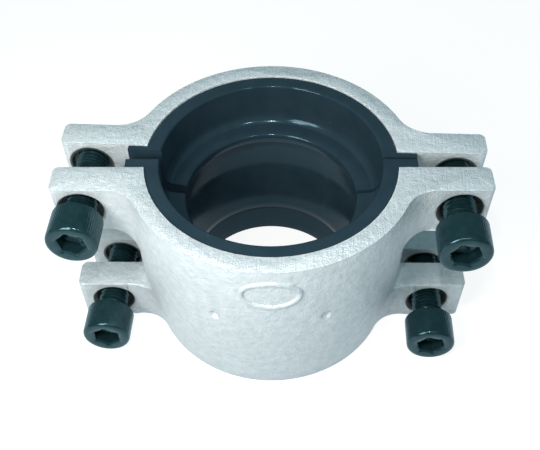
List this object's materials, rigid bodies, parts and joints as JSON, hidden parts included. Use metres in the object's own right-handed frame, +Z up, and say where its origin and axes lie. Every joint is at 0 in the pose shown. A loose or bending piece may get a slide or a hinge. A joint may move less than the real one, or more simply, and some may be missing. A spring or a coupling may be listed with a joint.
{
  "type": "press fit coupling",
  "caption": "Split pipe coupling: two cast casing halves with rubber linings, drawn together on a pipe by cap screws through side ears.",
  "frame": {"origin": "on the bore axis at the bottom rim", "axes": "+Z up the bore axis towards the wide mouth, +Y along the screws towards the rear half, +X to the right ears"},
  "size_m": [0.1348, 0.0902, 0.065],
  "materials": {
    "cast_aluminium": "sand cast, top rim sawn",
    "lining_rubber": "satin moulded rubber",
    "black_steel": "black oxide"
  },
  "bodies": {
    "rear_half": {"casing_rear": "cast_aluminium", "lining_rear": "lining_rubber"},
    "front_half": {"casing_front": "cast_aluminium", "lining_front": "lining_rubber"},
    "screw_upper_left": {"screw_upper_left": "black_steel"},
    "screw_upper_right": {"screw_upper_right": "black_steel"},
    "screw_lower_left": {"screw_lower_left": "black_steel"},
    "screw_lower_right": {"screw_lower_right": "black_steel"}
  },
  "joints": [
    {"name": "halves_open", "type": "slide", "parent": "rear_half", "child": "front_half", "axis": [0, -1, 0], "range_m": [0, 0.006]},
    {"name": "turn_upper_left", "type": "hinge", "parent": "front_half", "child": "screw_upper_left", "pos_m": [-0.0584, 0, 0.05585], "axis": [0, -1, 0], "range_deg": [0, 1445]},
    {"name": "turn_upper_right", "type": "hinge", "parent": "front_half", "child": "screw_upper_right", "pos_m": [0.0584, 0, 0.05585], "axis": [0, -1, 0], "range_deg": [0, 1445]},
    {"name": "turn_lower_left", "type": "hinge", "parent": "front_half", "child": "screw_lower_left", "pos_m": [-0.0554, 0, 0.00835], "axis": [0, -1, 0], "range_deg": [0, 1445]},
    {"name": "turn_lower_right", "type": "hinge", "parent": "front_half", "child": "screw_lower_right", "pos_m": [0.0554, 0, 0.00835], "axis": [0, -1, 0], "range_deg": [0, 1445]}
  ],
  "couplings": [
    {"joint": "turn_upper_left", "follows": "halves_open", "rad_per_m": 4188.8},
    {"joint": "turn_upper_right", "follows": "halves_open", "rad_per_m": 4188.8},
    {"joint": "turn_lower_left", "follows": "halves_open", "rad_per_m": 4188.8},
    {"joint": "turn_lower_right", "follows": "halves_open", "rad_per_m": 4188.8}
  ]
}
